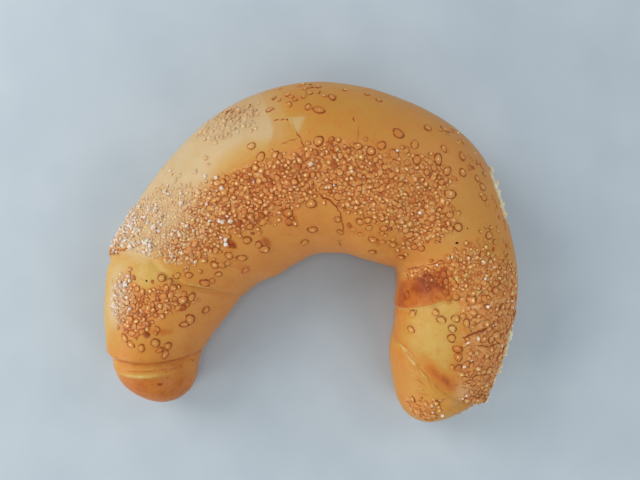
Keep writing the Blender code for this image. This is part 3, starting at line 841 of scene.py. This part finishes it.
def dome_template(sides, rings):
    """A dome of radius 1, whose lowest ring dips below its foot."""
    bm = bmesh.new()
    bmesh.ops.create_circle(bm, cap_ends=True, cap_tris=True, segments=sides, radius=rings[0])
    edge = [e for e in bm.edges if e.is_boundary]
    for radius in rings[1:]:
        made = bmesh.ops.extrude_edge_only(bm, edges=edge)["geom"]
        verts = [g for g in made if isinstance(g, bmesh.types.BMVert)]
        edge = [g for g in made if isinstance(g, bmesh.types.BMEdge) and g.is_boundary]
        for vert in verts:
            vert.co = vert.co.normalized() * radius
    bmesh.ops.recalc_face_normals(bm, faces=bm.faces)
    if sum(f.normal.z for f in bm.faces) < 0:
        bmesh.ops.reverse_faces(bm, faces=bm.faces)
    return arrays_of(bm)


def dome_profile(reach):
    """Height of a dome over its own height, at a reach of 0 to 1.12 from its middle."""
    inside = np.clip(1 - reach**2.4, 0, 1) ** 0.75
    return np.where(reach < 1, inside, -0.35 * (reach - 1) / 0.12)


def joined(name, points, faces, count):
    """One object of count like parts, whose points follow each other."""
    size = len(points) // count
    mesh = bpy.data.meshes.new(name)
    every_face = [[v + size * part for v in face] for part in range(count) for face in faces]
    mesh.from_pydata(points * MM, [], every_face)
    made = bpy.data.objects.new(name, mesh)
    bpy.context.scene.collection.objects.link(made)
    return made


def scattered(name, template, places, draw, height_share, stretch, wobble, lean):
    """One joined mesh of domes, each turned, stretched, dented and leaning a little. Also gives,
    for each vertex, the reach from its dome's middle, that from the painted highlight near it,
    how dark its foot browned and is painted in shade, and its dome."""
    points, faces = template
    reach = np.linalg.norm(points[:, :2], axis=1)
    turn = np.arctan2(points[:, 1], points[:, 0])
    centres, normals, _ = skin_at(places[:, 0], places[:, 1])
    every_point, heights, highlight_reach = [], [], []
    for centre, normal, radius in zip(centres, normals, places[:, 2]):
        spin, longer = draw.uniform(0, math.tau), draw.uniform(1.0, stretch)
        phase = draw.uniform(0, math.tau, 2)
        ripple = 1 + wobble * (np.sin(2 * turn + phase[0]) + 0.6 * np.sin(3 * turn + phase[1]))
        heights.append(radius * draw.uniform(*height_share))
        highlight_reach.append(np.linalg.norm(points[:, :2] - draw.normal(0, 0.13, 2), axis=1))
        local = np.column_stack(
            (
                points[:, 0] * ripple * radius * longer,
                points[:, 1] * ripple * radius / math.sqrt(longer),
                dome_profile(reach) * heights[-1],
            )
        )
        upward = Vector(normal + draw.normal(0, lean, 3)).normalized()
        across = upward.orthogonal().normalized()
        basis = np.array((across, upward.cross(across), upward))
        turned = np.column_stack(
            (
                local[:, 0] * math.cos(spin) - local[:, 1] * math.sin(spin),
                local[:, 0] * math.sin(spin) + local[:, 1] * math.cos(spin),
                local[:, 2],
            )
        )
        every_point.append(centre + turned @ basis)
    made = joined(name, np.concatenate(every_point), faces, len(places))
    made.data.shade_smooth()
    which = np.repeat(np.arange(len(places)), len(points))
    frames = np.column_stack((centres, normals, heights))
    patchy = np.clip(1 + 0.9 * noise_at(np.concatenate(every_point), 1.3, 21.0), 0.3, 1.4)
    return made, np.tile(reach, len(places)), np.concatenate(highlight_reach), patchy, which, frames


draw = np.random.default_rng(5)
large = solid_blisters()
blisters, reach, highlight_reach, patchy, which, _ = scattered(
    "blisters", dome_template(LARGE_SIDES, LARGE_RINGS), large, draw,
    height_share=(0.16, 0.26), stretch=1.3, wobble=0.08, lean=0.03,
)
large_along, large_angle = large[:, 0], large[:, 1]
crowd_here = 0.5 * crowding(large_along, large_angle)
own_tone = towards(browning(large_along, large_angle), band_tone(large_along, large_angle), crowd_here)
own_tone += draw.normal(0.01, 0.04, len(large))
own_pale = paleness(large_along, large_angle)
ring_brown_and_shade = draw.uniform(0.80, 1.1, len(large)) * (1 - 0.40 * own_pale)
# strength of the painted highlight on each blister's top
top_highlight = draw.uniform(0.3, 1.0, len(large))
store(
    blisters.data,
    browning=own_tone[which] + 0.04 * hump(reach - 0.6, 0.3),
    blush=(0.15 + 0.8 * blush(large_along, large_angle))[which],
    pale=own_pale[which],
    # the dark ring: browning with painted shade in the crease at each foot
    foot=ring_brown_and_shade[which] * patchy * hump(reach - 0.86, 0.18),
    spot=top_highlight[which] * hump(highlight_reach, 0.26),
    flecks=crowd_here[which],
)
blisters.data.materials.append(baked_skin("blister_skin", 0.36, 0.18))
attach(blisters, "root")
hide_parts("crescent_roll")

# ---------------------------------------------------------------------------------------
# Fine blisters: the same bubbles, smaller and crowded, which crust the crown and the right
# arm. They are finest and palest on the outer left side, where the salt lay thickest.
# ---------------------------------------------------------------------------------------

FINE_TRIED = 90000  # places tried, of which those that find room are kept
FINE_MARGIN = 2.0  # distance that they keep from the horns' ends
FINE_ANGLES = (2.0, 174.0)
FINE_SIZES = (0.6, 1.35)  # least and largest share of the usual radius
FINE_SPACING = 0.76  # as for the crowded large ones, but these run into each other
FINE_SIDES = 9
FINE_RINGS = (0.22, 0.46, 0.70, 0.90, 1.12)
WIDE_SPLITS = 5  # the first of the creases, along which the blisters stand clear
SPLIT_CLEARANCE = 0.55
STRAY_BLISTERS = (
    # distance along, angle, radius: faint ones on the pale shoulder
    (74, 24, 1.0), (74.6, 52, 1.1), (84.6, 58, 0.9), (84, 63, 0.8), (69.9, 44, 1.0), (76.4, 52, 0.8),
    (80, 60, 1.1),
    # small ones on the crown
    (113.6, 30, 0.8), (116, 34, 0.9), (117.6, 41, 1.0), (110.4, 41, 0.8), (108.2, 44, 0.7),
    (111.8, 48, 0.8), (119.2, 46, 0.8), (105.9, 50, 0.7), (124.5, 36, 0.8),
)
SPARSE_PATCHES = (
    # outline of (distance along, angle) points, how thickly the blisters stand in it
    (((141, 24), (152, 30), (163, 38), (172, 46), (172, 60), (164, 62), (156, 54), (148, 44)), 0.022),
    (((168, 38), (184, 34), (184, 52), (178, 72), (173, 84), (168, 62)), 0.030),
    (((56, 98), (66, 112), (90, 117), (110, 115), (110, 124), (84, 128), (60, 124), (52, 106)), 0.012),
    (((118, 118), (134, 124), (150, 128), (160, 134), (158, 144), (136, 142), (118, 134)), 0.012),
    (((108, 26), (120, 26), (122, 36), (116, 46), (106, 42)), 0.030),
    (((70, 34), (84, 44), (84, 58), (72, 52)), 0.012),
)


def fineness(along, angle):
    """1 on the outer left side, where the blisters are finest and pale, 0 elsewhere."""
    band = soft(along - 48, 2) * soft(76 - along, 7) * soft(94 - angle, 8)
    return np.maximum(band, in_patch((38, 54, 9, 14), along, angle))


def loose_arm(along, angle):
    """1 on the middle of the right arm, where the blisters are larger and further apart."""
    return soft(along - 189.5, 2) * soft(216 - along, 2) * soft(100 - angle, 10)


def grain_radius(along, angle):
    """Usual radius of a fine blister, in millimetres."""
    return 0.88 - 0.34 * fineness(along, angle) + 0.22 * loose_arm(along, angle)


def fine_likelihood(along, angle):
    """Share of the places tried that may hold a fine blister."""
    loose = soft(inside_mm(LOOSE_PATCH, along, angle), 0.6)
    crowd = crowding(along, angle, 1.3) ** 1.5 * (1 - 0.86 * loose_arm(along, angle))
    crowd = crowd * (1 - 0.85 * red_fold(along, angle) * soft(angle - 112, 4))
    sparse = np.max([share * (inside_mm(area, along, angle) > 0) for area, share in SPARSE_PATCHES], 0)
    return np.maximum(np.maximum(crowd * (0.45 + 0.55 * fineness(along, angle)), 0.4 * loose), sparse)


def spread(draw, taken):
    """Places and radii of the fine blisters that find room beside those already taken."""
    along = draw.uniform(FINE_MARGIN, LENGTH - FINE_MARGIN, FINE_TRIED)
    angle = draw.uniform(*FINE_ANGLES, FINE_TRIED)
    kept = draw.uniform(size=FINE_TRIED) < fine_likelihood(along, angle)
    along, angle = along[kept], angle[kept]
    radius = grain_radius(along, angle) * draw.uniform(*FINE_SIZES, len(along))
    points, _ = crust(along, angle)
    centres, _ = crust(taken[:, 0], taken[:, 1])
    radii = taken[:, 2]
    found = []
    for i in range(len(along)):
        if (np.linalg.norm(centres - points[i], axis=1) > FINE_SPACING * (radii + radius[i])).all():
            found.append(i)
            centres, radii = np.vstack((centres, points[i])), np.append(radii, radius[i])
    return np.column_stack((along, angle, radius))[found]


splits = []
for _, _, _, _, path in CREASES[:WIDE_SPLITS]:
    share, corner, path = np.linspace(0, len(path) - 1, 25), np.arange(len(path)), np.array(path)
    splits.append(np.column_stack([np.interp(share, corner, path[:, axis]) for axis in (0, 1)]))
splits = np.concatenate(splits)
splits = np.column_stack((splits, np.full(len(splits), SPLIT_CLEARANCE)))
lone = large[: len(LONE_BLISTERS)]
fine = spread(draw, np.vstack((lone, splits, STRAY_BLISTERS)))
fine = np.vstack((STRAY_BLISTERS, fine))
fine_blisters, reach, highlight_reach, patchy, which, fine_frames = scattered(
    "fine_blisters", dome_template(FINE_SIDES, FINE_RINGS), fine, draw,
    height_share=(0.26, 0.46), stretch=1.25, wobble=0.15, lean=0.08,
)
fine_along, fine_angle = fine[:, 0], fine[:, 1]
# Those along the left seam browned red.
seam_side, _ = onto_lip(LEFT_SEAM, fine_along, fine_angle)
seam_edge = hump(seam_side - 0.6, 1.0) * soft(58 - fine_angle, 4)
own_pale = np.maximum(paleness(fine_along, fine_angle), 0.85 * fineness(fine_along, fine_angle))
own_pale = own_pale * (1 - 0.8 * seam_edge)
in_fold = red_fold(fine_along, fine_angle)
own_tone = band_tone(fine_along, fine_angle) + draw.normal(0, 0.05, len(fine))
reddened = draw.uniform(size=len(fine)) < 0.14
own_tone = np.minimum(own_tone + 0.18 * reddened + 0.35 * seam_edge, 0.82)
own_blush = blush(fine_along, fine_angle) * draw.uniform(0.6, 1.3, len(fine))
own_blush = own_blush * (1 - 0.7 * reddened)
ring_brown_and_shade = draw.uniform(0.45, 1.1, len(fine)) * (1 - 0.55 * own_pale)
ring_brown_and_shade = ring_brown_and_shade * (1 - 0.15 * soft(fine_along - 135, 15) * (1 - in_fold))
# strength of the painted highlight on each fine blister's top, weaker on the red ones
top_highlight = np.clip(draw.uniform(-0.25, 1.3, len(fine)), 0, 1.1)
top_highlight = top_highlight * (1 - 0.85 * in_fold) * (1 - 0.5 * reddened)
store(
    fine_blisters.data,
    browning=own_tone[which],
    blush=own_blush[which],
    pale=own_pale[which],
    # the dark ring: browning with painted shade in the crease at each foot
    foot=ring_brown_and_shade[which] * patchy * soft(reach - 0.78, 0.10),
    spot=top_highlight[which] * hump(highlight_reach, 0.40),
    flecks=(crowding(fine_along, fine_angle, 2.0) * (1 - 0.5 * own_pale) * (1 - 0.6 * in_fold))[which],
)
fine_blisters.data.materials.append(baked_skin("fine_blister_skin", 0.40, 0.20))
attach(fine_blisters, "root")
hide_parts("crescent_roll")

# ---------------------------------------------------------------------------------------
# Browning of the crust: the skin between the blisters browned too, most just round each
# foot, where painted shade also darkens the gaps between them, so what its material reads
# from its vertices comes after them.
# ---------------------------------------------------------------------------------------

everyone = np.vstack((large, fine))
feet = kdtree.KDTree(len(everyone))
foot_points, _ = crust(everyone[:, 0], everyone[:, 1])
for index, point in enumerate(foot_points):
    feet.insert(point, index)
feet.balance()
halo_brown_and_shade = np.zeros(len(skin_points))
for i in np.nonzero((skin_angle < 182) | (skin_angle > 350))[0]:
    _, index, distance = feet.find(skin_points[i])
    halo_brown_and_shade[i] = hump(max(distance - everyone[index, 2], 0), 0.4)
skin_turn = rim_angle(skin_angle)
crowd = crowding(skin_along, skin_turn) * (1 - soft(inside_mm(LOOSE_PATCH, skin_along, skin_turn), 0.5))
# On the outer flank the pale skin ends along a wavy line, and towards the tray all of it browned.
skin_pale = paleness(skin_along + 5 * skin_coarse * soft(12 - skin_turn, 5), skin_turn)
below_rim = np.maximum(np.minimum(skin_angle - 180, 360 - skin_angle), 0)
tray_side = soft(below_rim - 38, 14)
skin_pale = skin_pale * (1 - 0.75 * tray_side)
skin_tone = towards(browning(skin_along, skin_turn), band_tone(skin_along, skin_turn), crowd)
skin_tone = towards(skin_tone + 0.045 * skin_coarse, 0.64, tray_side)
store(
    skin.data,
    browning=skin_tone + 0.08 * halo_brown_and_shade * (1 - skin_pale),
    blush=blush(skin_along, skin_turn),
    pale=skin_pale * (1 - 0.25 * crowd),
    torn=torn(skin_along, skin_angle),
    # dark round the feet between the crowded blisters: browning with painted shade in the gaps
    foot=0.60 * halo_brown_and_shade * crowd * (1 - 0.55 * skin_pale) * (1 - 0.20 * soft(skin_along - 135, 15)),
    spot=np.zeros(len(skin_points)),
    flecks=crowd * (1 - 0.5 * skin_pale) * (1 - 0.8 * red_fold(skin_along, skin_turn)),
)

# ---------------------------------------------------------------------------------------
# Burnt specks: a few dark crumbs of dough that stuck to the skin and charred, small flat
# lumps pressed in as it baked.
# ---------------------------------------------------------------------------------------

SPECKS = (
    # distance along, angle, radius
    (46.0, 78, 0.42), (171.9, 95, 0.55), (144.2, 68, 0.40), (166.9, 109, 0.30), (170.1, 84, 0.28),
    (209.5, 91, 0.30),
)
SPECK_SHAPE = (1.0, 0.75, 0.5)
CHARRED_COLOURS = ((0.3, (38, 26, 18)), (0.8, (84, 52, 30)))

bm = bmesh.new()
for along, angle, radius in SPECKS:
    points, normals, _ = skin_at(np.array([along]), np.array([float(angle)]))
    turn = Vector(normals[0]).to_track_quat("Z", "Y").to_matrix().to_4x4()
    place = Matrix.Translation(Vector(points[0]) * MM) @ turn @ Matrix.Diagonal((*SPECK_SHAPE, 1.0))
    bmesh.ops.create_icosphere(bm, subdivisions=2, radius=radius * MM, matrix=place)
specks = piece_from(bm, "burnt_specks")
made, tree, shader = new_material("charred", 0.7, Specular_IOR_Level=0.1)
feed(tree, shader, Base_Color=ramp(tree, speckle(tree, 0.3), CHARRED_COLOURS))
specks.data.materials.append(made)
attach(specks, "root")

# ---------------------------------------------------------------------------------------
# Torn crumb: the right side's outer flank pulled open in the oven. The pale, open crumb
# swells out of the tears, its cells drawn out upwards and painted darker than their walls
# as shade, with ragged flakes of it at the rim.
# ---------------------------------------------------------------------------------------

CRUMB_STEP = 0.27
CRUMB_MARGIN = 3.0  # how far the sheet of crumb reaches under the skin round a tear
CELL_SIZE = Vector((1.1, 1.1, 2.0))
CRUMB_SINK = 1.3  # depth of the sheet under the skin, from which the crumb swells out
CRUMB_RISE = 0.90
WALL_RISE = 1.10  # further rise of the walls between cells
FLAKES_TRIED = (60, 50, 80)  # for each torn place; those that fall outside it are left out
FLAKE_SIZE = (0.30, 0.85)
FLAKE_FLATNESS = (0.15, 1.7)  # share of its size that a flake has along each of its axes
FLAKE_RISE = (0.0, 0.8)
CRUMB_TINTS_AND_CELL_SHADE = ((0.10, (180, 126, 64)), (0.42, CRUMB_COLOUR), (0.95, (249, 239, 216)))

bm = bmesh.new()
tint_layer = bm.verts.layers.float.new("tint")
for first, last, lowest, highest in TORN_PLACES:
    length = last - first + 2 * CRUMB_MARGIN
    height = (highest - lowest) * ANGLE_MM + 2 * CRUMB_MARGIN
    steps = int(length / CRUMB_STEP), int(height / CRUMB_STEP)
    made = bmesh.ops.create_grid(bm, x_segments=steps[0], y_segments=steps[1], size=0.5)["verts"]
    share = np.array([v.co[:2] for v in made])
    along = (first + last) / 2 + share[:, 0] * length
    angle = (lowest + highest) / 2 - share[:, 1] * height / ANGLE_MM
    points, normals = crust(along, angle)
    inner = torn(along, angle, 0.5)  # the crumb browned a little along the edges
    for vert, point, normal, bare, white in zip(made, points, normals, torn(along, angle), inner):
        cell = Vector(np.array(point) / CELL_SIZE)
        near = noise.voronoi(cell)[0]
        wall = 1 - min((near[1] - near[0]) * 1.7, 1.0)
        lumps = 0.3 * noise.noise(cell * 0.5)
        rise = bare * (CRUMB_RISE + WALL_RISE * wall + lumps) - CRUMB_SINK
        vert.co = (point + normal * rise) * MM
        # the cells darker than the walls between them: painted shade in the cells
        vert[tint_layer] = 0.55 * white - 0.30 + 0.75 * wall + lumps
sheet = piece_from(bm, "open_crumb")

bm = bmesh.new()
bmesh.ops.create_icosphere(bm, subdivisions=2, radius=1.0)
flake_points, flake_faces = arrays_of(bm)


def any_turn(draw):
    """A turn by any angle about any axis."""
    angle, axis = draw.uniform(0, math.tau), Vector(draw.normal(size=3)).normalized()
    return np.array(Matrix.Rotation(angle, 3, axis))


every_point, tint = [], []
for (first, last, lowest, highest), tried in zip(TORN_PLACES, FLAKES_TRIED):
    along, angle = draw.uniform(first, last, tried), draw.uniform(lowest, highest, tried)
    inside = torn(along, angle) > 0.6
    centres, normals = crust(along[inside], angle[inside])
    for centre, normal in zip(centres, normals):
        turn = any_turn(draw)
        lumps = [1 + 0.45 * noise.noise(Vector(p) * 1.8 + Vector(centre)) for p in flake_points]
        shape = flake_points * np.array(lumps)[:, None]
        shape = shape * draw.uniform(*FLAKE_FLATNESS, 3) * draw.uniform(*FLAKE_SIZE)
        every_point.append(centre + normal * draw.uniform(*FLAKE_RISE) + shape @ turn)
        tint.append(np.full(len(flake_points), draw.uniform(0.4, 1.0)))
crumb = joined("torn_crumb", np.concatenate(every_point), flake_faces, len(every_point))
store(crumb.data, tint=np.concatenate(tint))

made, tree, shader = new_material("bare_crumb", 0.8, Subsurface_Weight=0.12, Subsurface_Scale=0.6 * MM)
crumb_tone = (attribute(tree, "tint") * 0.7 + speckle(tree, 0.5) * 0.3).clamp()
feed(tree, shader, Base_Color=ramp(tree, crumb_tone, CRUMB_TINTS_AND_CELL_SHADE))
for piece in (sheet, crumb):
    piece.data.materials.append(made)
    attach(piece, "root")

# ---------------------------------------------------------------------------------------
# Salt: coarse white crystals, scattered before baking and stuck on the blisters. They are
# blunt broken cubes, thickest on the outer left side, and a little clear.
# ---------------------------------------------------------------------------------------

BIG_CRYSTALS = (
    # distance along, angle, radius
    (61.9, 64, 1.0), (57.0, 70, 0.9), (76.0, 96, 0.9), (111.6, 92, 1.0), (186.6, 76, 0.8),
    (138.7, 78, 0.8), (46.2, 62, 0.8), (45.0, 64, 0.7), (44.2, 60, 0.6), (42.8, 56, 0.7),
    (42.0, 52, 0.6), (81.6, 68, 0.6), (76.6, 82, 0.6), (77.4, 86, 0.5), (83.6, 73, 0.5),
    (92.3, 90, 0.6), (112.2, 100, 0.6), (124.9, 96, 0.7), (115.2, 106, 0.7), (118.2, 105, 0.6),
    (147.0, 91, 0.5), (128.9, 98, 0.5), (73.5, 64, 0.6), (71.3, 59, 0.5), (54.6, 99, 0.5),
    (58.1, 102, 0.6), (175.4, 101, 0.7), (178.4, 88, 0.6), (181.4, 76, 0.8), (195.5, 74, 0.7),
    (201.7, 66, 0.6), (206.6, 87, 0.8), (205.5, 79, 0.7), (203.9, 74, 0.5), (212.8, 79, 0.6),
    (215.0, 84, 0.7), (224.9, 74, 0.7), (226.3, 77, 0.6), (232.5, 107, 0.7), (234.1, 93, 0.6),
    (229.9, 108, 0.6), (208.6, 48, 0.6), (184.2, 66, 0.6), (151.8, 106, 0.6), (158.1, 84, 0.6),
    (153.2, 33, 0.7), (158.9, 37, 0.5), (142.0, 30, 0.5),
)
CLUSTER_COUNT = 180
CLUSTER_SIZE = (2, 7)
SMALLEST_CRYSTAL = 0.26
SMALL_RANGE = 0.50  # how much more the largest of the small ones have
CRYSTAL_SHAPE = (0.55, 1.3)
CRYSTAL_BEVEL = 0.28
SALT_TINTS = ((0.0, (218, 180, 138)), (0.5, (232, 204, 172)), (1.0, (240, 234, 230)))


def salt_likelihood(along, angle):
    """How thickly the small crystals lie on the fine blisters."""
    thick = np.maximum(in_patch((38, 52, 10, 11), along, angle), in_patch((56, 34, 8, 34), along, angle))
    return (0.015 + 1.6 * thick + 0.25 * fineness(along, angle)) * (1 - red_fold(along, angle))


bm = bmesh.new()
bmesh.ops.create_cube(bm, size=1.5)
bmesh.ops.bevel(
    bm, geom=bm.edges[:] + bm.verts[:], offset=CRYSTAL_BEVEL, segments=1, profile=0.5,
    affect="EDGES", material=-1,
)
bmesh.ops.triangulate(bm, faces=bm.faces)
crystal_points, crystal_faces = arrays_of(bm)

big = np.array(BIG_CRYSTALS)
big_points, big_normals, _ = skin_at(big[:, 0], big[:, 1])
weights = salt_likelihood(fine_along, fine_angle)
hosts = []
for middle in draw.choice(len(fine), CLUSTER_COUNT, p=weights / weights.sum()):
    apart = np.linalg.norm(fine_frames[:, :3] - fine_frames[middle, :3], axis=1)
    hosts.extend(np.argsort(apart)[: draw.integers(*CLUSTER_SIZE)])
small_radii = SMALLEST_CRYSTAL + SMALL_RANGE * draw.uniform(0, 1, len(hosts)) ** 2
tops, top_normals, top_heights = fine_frames[hosts, :3], fine_frames[hosts, 3:6], fine_frames[hosts, 6]
small_points = tops + top_normals * (top_heights * 0.75)[:, None]
small_points += draw.normal(0, 0.22, small_points.shape)
salt_points = np.vstack((big_points + big_normals * big[:, 2:] * 0.5, small_points))
salt_radii = np.concatenate((big[:, 2] * 0.8, small_radii))
every_point, tint = [], []
for centre, radius in zip(salt_points, salt_radii):
    turn = any_turn(draw)
    chipped = 1 + 0.12 * draw.normal(size=(len(crystal_points), 1))
    shape = crystal_points * draw.uniform(*CRYSTAL_SHAPE, 3) * chipped
    every_point.append(centre + shape @ turn * radius)
    tint.append(np.full(len(crystal_points), draw.uniform(0.0, 0.5) + 0.5 * (radius > 0.45)))
salt = joined("salt_crystals", np.concatenate(every_point), crystal_faces, len(every_point))
store(salt.data, tint=np.concatenate(tint))

made, tree, shader = new_material(
    "salt_crystal", 0.32, Specular_IOR_Level=0.3, Subsurface_Weight=0.2, Subsurface_Scale=0.5 * MM
)
salt_tone = (attribute(tree, "tint") + (speckle(tree, 0.4) - 0.5) * 0.4).clamp()
feed(tree, shader, Base_Color=ramp(tree, salt_tone, SALT_TINTS))
salt.data.materials.append(made)
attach(salt, "root")

# ---------------------------------------------------------------------------------------
# Stage: a plain pale blue-grey surface, soft window light from the sides, a small lamp
# overhead, and the camera straight above.
# ---------------------------------------------------------------------------------------

FLOOR_REACH = 1.5  # metres each way from the roll
FLOOR_COLOURS = ((0.3, (184, 198, 209)), (0.7, (192, 205, 215)))
ROOM_COLOUR, ROOM_STRENGTH = (0.70, 0.88, 1.0, 1.0), 0.36
LIGHTS = (
    # name, place and size in metres, power, colour
    ("near_window", (-0.65, -0.38, 0.27), 0.5, 2.5, (1.0, 0.94, 0.82)),
    ("left_window", (-0.57, 0.33, 0.46), 0.5, 3.4, (1.0, 0.90, 0.85)),
    ("right_window", (0.46, -0.46, 0.46), 0.5, 1.55, (1.0, 0.90, 0.82)),
    ("far_window", (0.57, 0.33, 0.46), 0.5, 1.0, (1.0, 0.92, 0.88)),
    ("lamp", (-0.06, 0.06, 0.9), 0.12, 0.44, (1.0, 0.97, 0.92)),
)
CAMERA_PLACE = (0.00364, 0.00527, 0.245)  # metres, above the middle of the view

bm = bmesh.new()
bmesh.ops.create_grid(bm, x_segments=1, y_segments=1, size=FLOOR_REACH)
floor = piece_from(bm, "floor")
made, tree, shader = new_material("pale_surface", 0.6)
feed(tree, shader, Base_Color=ramp(tree, speckle(tree, 30.0), FLOOR_COLOURS))
floor.data.materials.append(made)

world = bpy.data.worlds.new("room")
bpy.context.scene.world = world
world.use_nodes = True
world.node_tree.nodes["Background"].inputs["Color"].default_value = ROOM_COLOUR
world.node_tree.nodes["Background"].inputs["Strength"].default_value = ROOM_STRENGTH

for name, place, size, power, colour in LIGHTS:
    light = bpy.data.lights.new(name, "AREA")
    light.shape = "DISK"
    light.size, light.energy, light.color = size, power, colour
    made = bpy.data.objects.new(name, light)
    made.location = place
    made.rotation_euler = (-Vector(place)).to_track_quat("-Z", "Y").to_euler()
    bpy.context.scene.collection.objects.link(made)

camera_data = bpy.data.cameras.new("camera")
camera_data.lens = 35.0
camera_data.sensor_width = 36.0
camera_data.clip_start = 0.01
camera = bpy.data.objects.new("camera", camera_data)
camera.location = CAMERA_PLACE
bpy.context.scene.collection.objects.link(camera)
bpy.context.scene.camera = camera
bpy.context.scene.view_settings.view_transform = "Standard"
